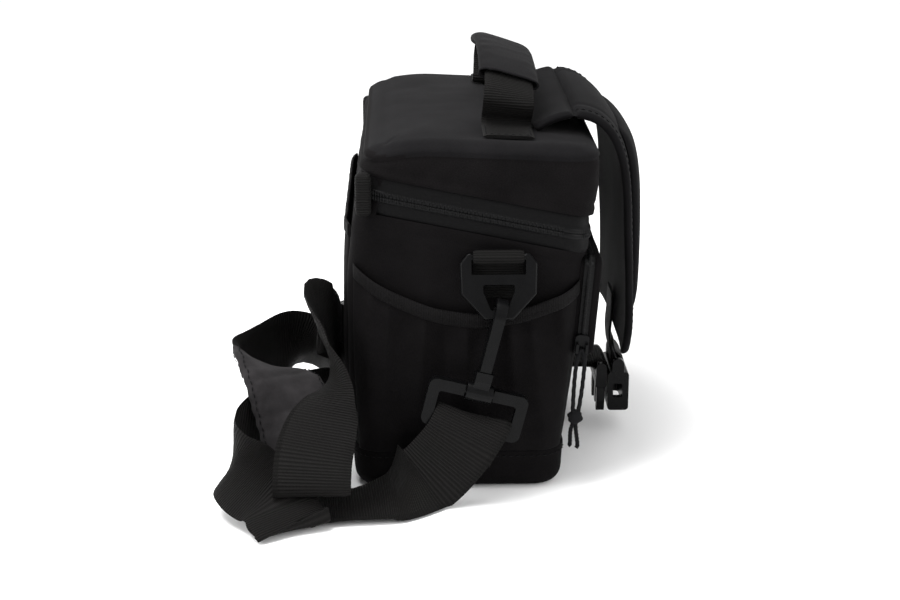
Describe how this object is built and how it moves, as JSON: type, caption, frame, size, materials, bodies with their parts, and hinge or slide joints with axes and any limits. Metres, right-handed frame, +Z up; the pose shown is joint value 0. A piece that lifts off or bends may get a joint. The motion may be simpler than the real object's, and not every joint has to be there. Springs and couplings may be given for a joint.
{
  "type": "camera-style shoulder bag",
  "caption": "Small padded box bag with a zipped hinged lid, buckled front flap, grab handle, pockets and a webbing shoulder strap lying on the floor.",
  "frame": {"origin": "on the surface the bag stands on, under the middle of the base panel's plan", "axes": "+X along the bag's length (left end is -X), -Y towards the flap and buckle at the front, +Z up"},
  "size_m": [0.2603, 0.216, 0.2136],
  "materials": {
    "nylon": "matte woven",
    "board": "matte",
    "foam": "soft",
    "lining": "brushed",
    "zip": "woven tape with a plastic coil",
    "binding": "woven",
    "webbing": "ribbed",
    "grip": "twill",
    "suede": "brushed",
    "slider_metal": "satin",
    "pull_cord": "matte",
    "hard_plastic": "satin"
  },
  "bodies": {
    "root": {"base_panel": "nylon", "base_board": "board", "base_foam": "foam", "body_shell": "nylon", "wall_foam": "foam", "lining": "lining", "divider_left": "lining", "divider_right": "lining", "zip_tape_body": "zip", "hinge_piping": "binding", "zip_end_tab_left": "webbing", "zip_end_tab_right": "webbing", "side_pocket_left": "nylon", "side_pocket_right": "nylon", "side_pocket_binding_left": "binding", "side_pocket_binding_right": "binding", "back_pocket": "nylon", "back_pocket_binding": "binding", "front_pocket": "nylon", "front_pocket_zip": "zip", "ring_tab_left": "webbing", "ring_tab_right": "webbing", "wall_webbing": "webbing", "strap_near": "webbing", "shoulder_pad": "suede", "strap_far": "webbing", "strap_adjuster": "hard_plastic", "strap_end": "webbing"},
    "lid": {"lid_shell": "nylon", "lid_foam": "foam", "lid_lining": "lining", "zip_tape_lid": "zip", "handle_webbing": "webbing", "handle_wrap": "grip"},
    "flap": {"flap": "nylon", "flap_pocket": "nylon", "flap_webbing": "webbing"},
    "lid_slider_rear": {"lid_slider_rear": "slider_metal"},
    "lid_pull_rear": {"lid_pull_rear": "slider_metal"},
    "lid_slider_front": {"lid_slider_front": "slider_metal"},
    "lid_pull_front": {"lid_pull_front": "slider_metal"},
    "front_slider": {"front_slider": "slider_metal"},
    "front_pull": {"front_pull": "pull_cord"},
    "clip_left": {"d_ring_left": "hard_plastic", "strap_loop_left": "hard_plastic"},
    "clip_right": {"d_ring_right": "hard_plastic", "strap_loop_right": "hard_plastic"},
    "hook_left": {"hook_left": "hard_plastic"},
    "hook_right": {"hook_right": "hard_plastic"},
    "gate_left": {"hook_gate_left": "hard_plastic"},
    "gate_right": {"hook_gate_right": "hard_plastic"},
    "buckle_socket": {"buckle_socket": "hard_plastic"},
    "buckle_plug": {"buckle_plug": "hard_plastic"},
    "prong_left": {"buckle_prong_left": "hard_plastic"},
    "prong_right": {"buckle_prong_right": "hard_plastic"}
  },
  "joints": [
    {"name": "lid_hinge", "type": "hinge", "parent": "root", "child": "lid", "pos_m": [0, 0.0514, 0.15708], "axis": [-1, 0, 0], "range_deg": [0, 100]},
    {"name": "flap_hinge", "type": "hinge", "parent": "lid", "child": "flap", "pos_m": [0, -0.042, 0.184], "axis": [-1, 0, 0], "range_deg": [0, 48]},
    {"name": "lid_slider_rear_slide", "type": "slide", "parent": "root", "child": "lid_slider_rear", "axis": [0, 0.9806, 0.1961], "range_m": [0, 0.028]},
    {"name": "lid_pull_rear_hinge", "type": "hinge", "parent": "lid_slider_rear", "child": "lid_pull_rear", "pos_m": [0.0974, 0.00186, 0.14717], "axis": [0, 0.1961, -0.9806], "range_deg": [0, 100]},
    {"name": "lid_slider_front_slide", "type": "slide", "parent": "root", "child": "lid_slider_front", "axis": [0, -0.9806, -0.1961], "range_m": [0, 0.034]},
    {"name": "lid_pull_front_hinge", "type": "hinge", "parent": "lid_slider_front", "child": "lid_pull_front", "pos_m": [0.0974, -0.01186, 0.14443], "axis": [0, -0.1961, 0.9806], "range_deg": [0, 100]},
    {"name": "front_slider_slide", "type": "slide", "parent": "root", "child": "front_slider", "axis": [0, -0.0748, 0.9972], "range_m": [0, 0.038]},
    {"name": "front_pull_hinge", "type": "hinge", "parent": "front_slider", "child": "front_pull", "pos_m": [-0.0902, -0.06197, 0.07456], "axis": [0, 0.9972, 0.0748], "range_deg": [0, 120]},
    {"name": "clip_left_swing", "type": "hinge", "parent": "root", "child": "clip_left", "pos_m": [-0.0966, -0.0195, 0.125], "axis": [0, 1, 0], "range_deg": [0, 25]},
    {"name": "hook_left_pivot", "type": "hinge", "parent": "clip_left", "child": "hook_left", "pos_m": [-0.1093, -0.00982, 0.05959], "axis": [0, 0.9703, 0.2419], "range_deg": [-1.5, 1]},
    {"name": "gate_left_hinge", "type": "hinge", "parent": "hook_left", "child": "gate_left", "pos_m": [-0.1057, -0.01164, 0.06686], "axis": [0, -0.9703, -0.2419], "range_deg": [0, 12]},
    {"name": "clip_right_swing", "type": "hinge", "parent": "root", "child": "clip_right", "pos_m": [0.0966, -0.0195, 0.125], "axis": [0, -1, 0], "range_deg": [0, 25]},
    {"name": "hook_right_pivot", "type": "hinge", "parent": "clip_right", "child": "hook_right", "pos_m": [0.1093, -0.00982, 0.05959], "axis": [0, -0.9703, -0.2419], "range_deg": [-1.5, 1]},
    {"name": "gate_right_hinge", "type": "hinge", "parent": "hook_right", "child": "gate_right", "pos_m": [0.1057, -0.01164, 0.06686], "axis": [0, 0.9703, 0.2419], "range_deg": [0, 12]},
    {"name": "buckle_socket_swing", "type": "hinge", "parent": "flap", "child": "buckle_socket", "pos_m": [0, -0.09, 0.0395], "axis": [-1, 0, 0], "range_deg": [0, 25]},
    {"name": "buckle_plug_swing", "type": "hinge", "parent": "root", "child": "buckle_plug", "pos_m": [0, -0.081, 0.037], "axis": [1, 0, 0], "range_deg": [0, 20]},
    {"name": "prong_left_flex", "type": "hinge", "parent": "buckle_plug", "child": "prong_left", "pos_m": [-0.0115, -0.081, 0.0242], "axis": [0, -1, 0], "range_deg": [0, 8]},
    {"name": "prong_right_flex", "type": "hinge", "parent": "buckle_plug", "child": "prong_right", "pos_m": [0.0115, -0.081, 0.0242], "axis": [0, 1, 0], "range_deg": [0, 8]}
  ]
}
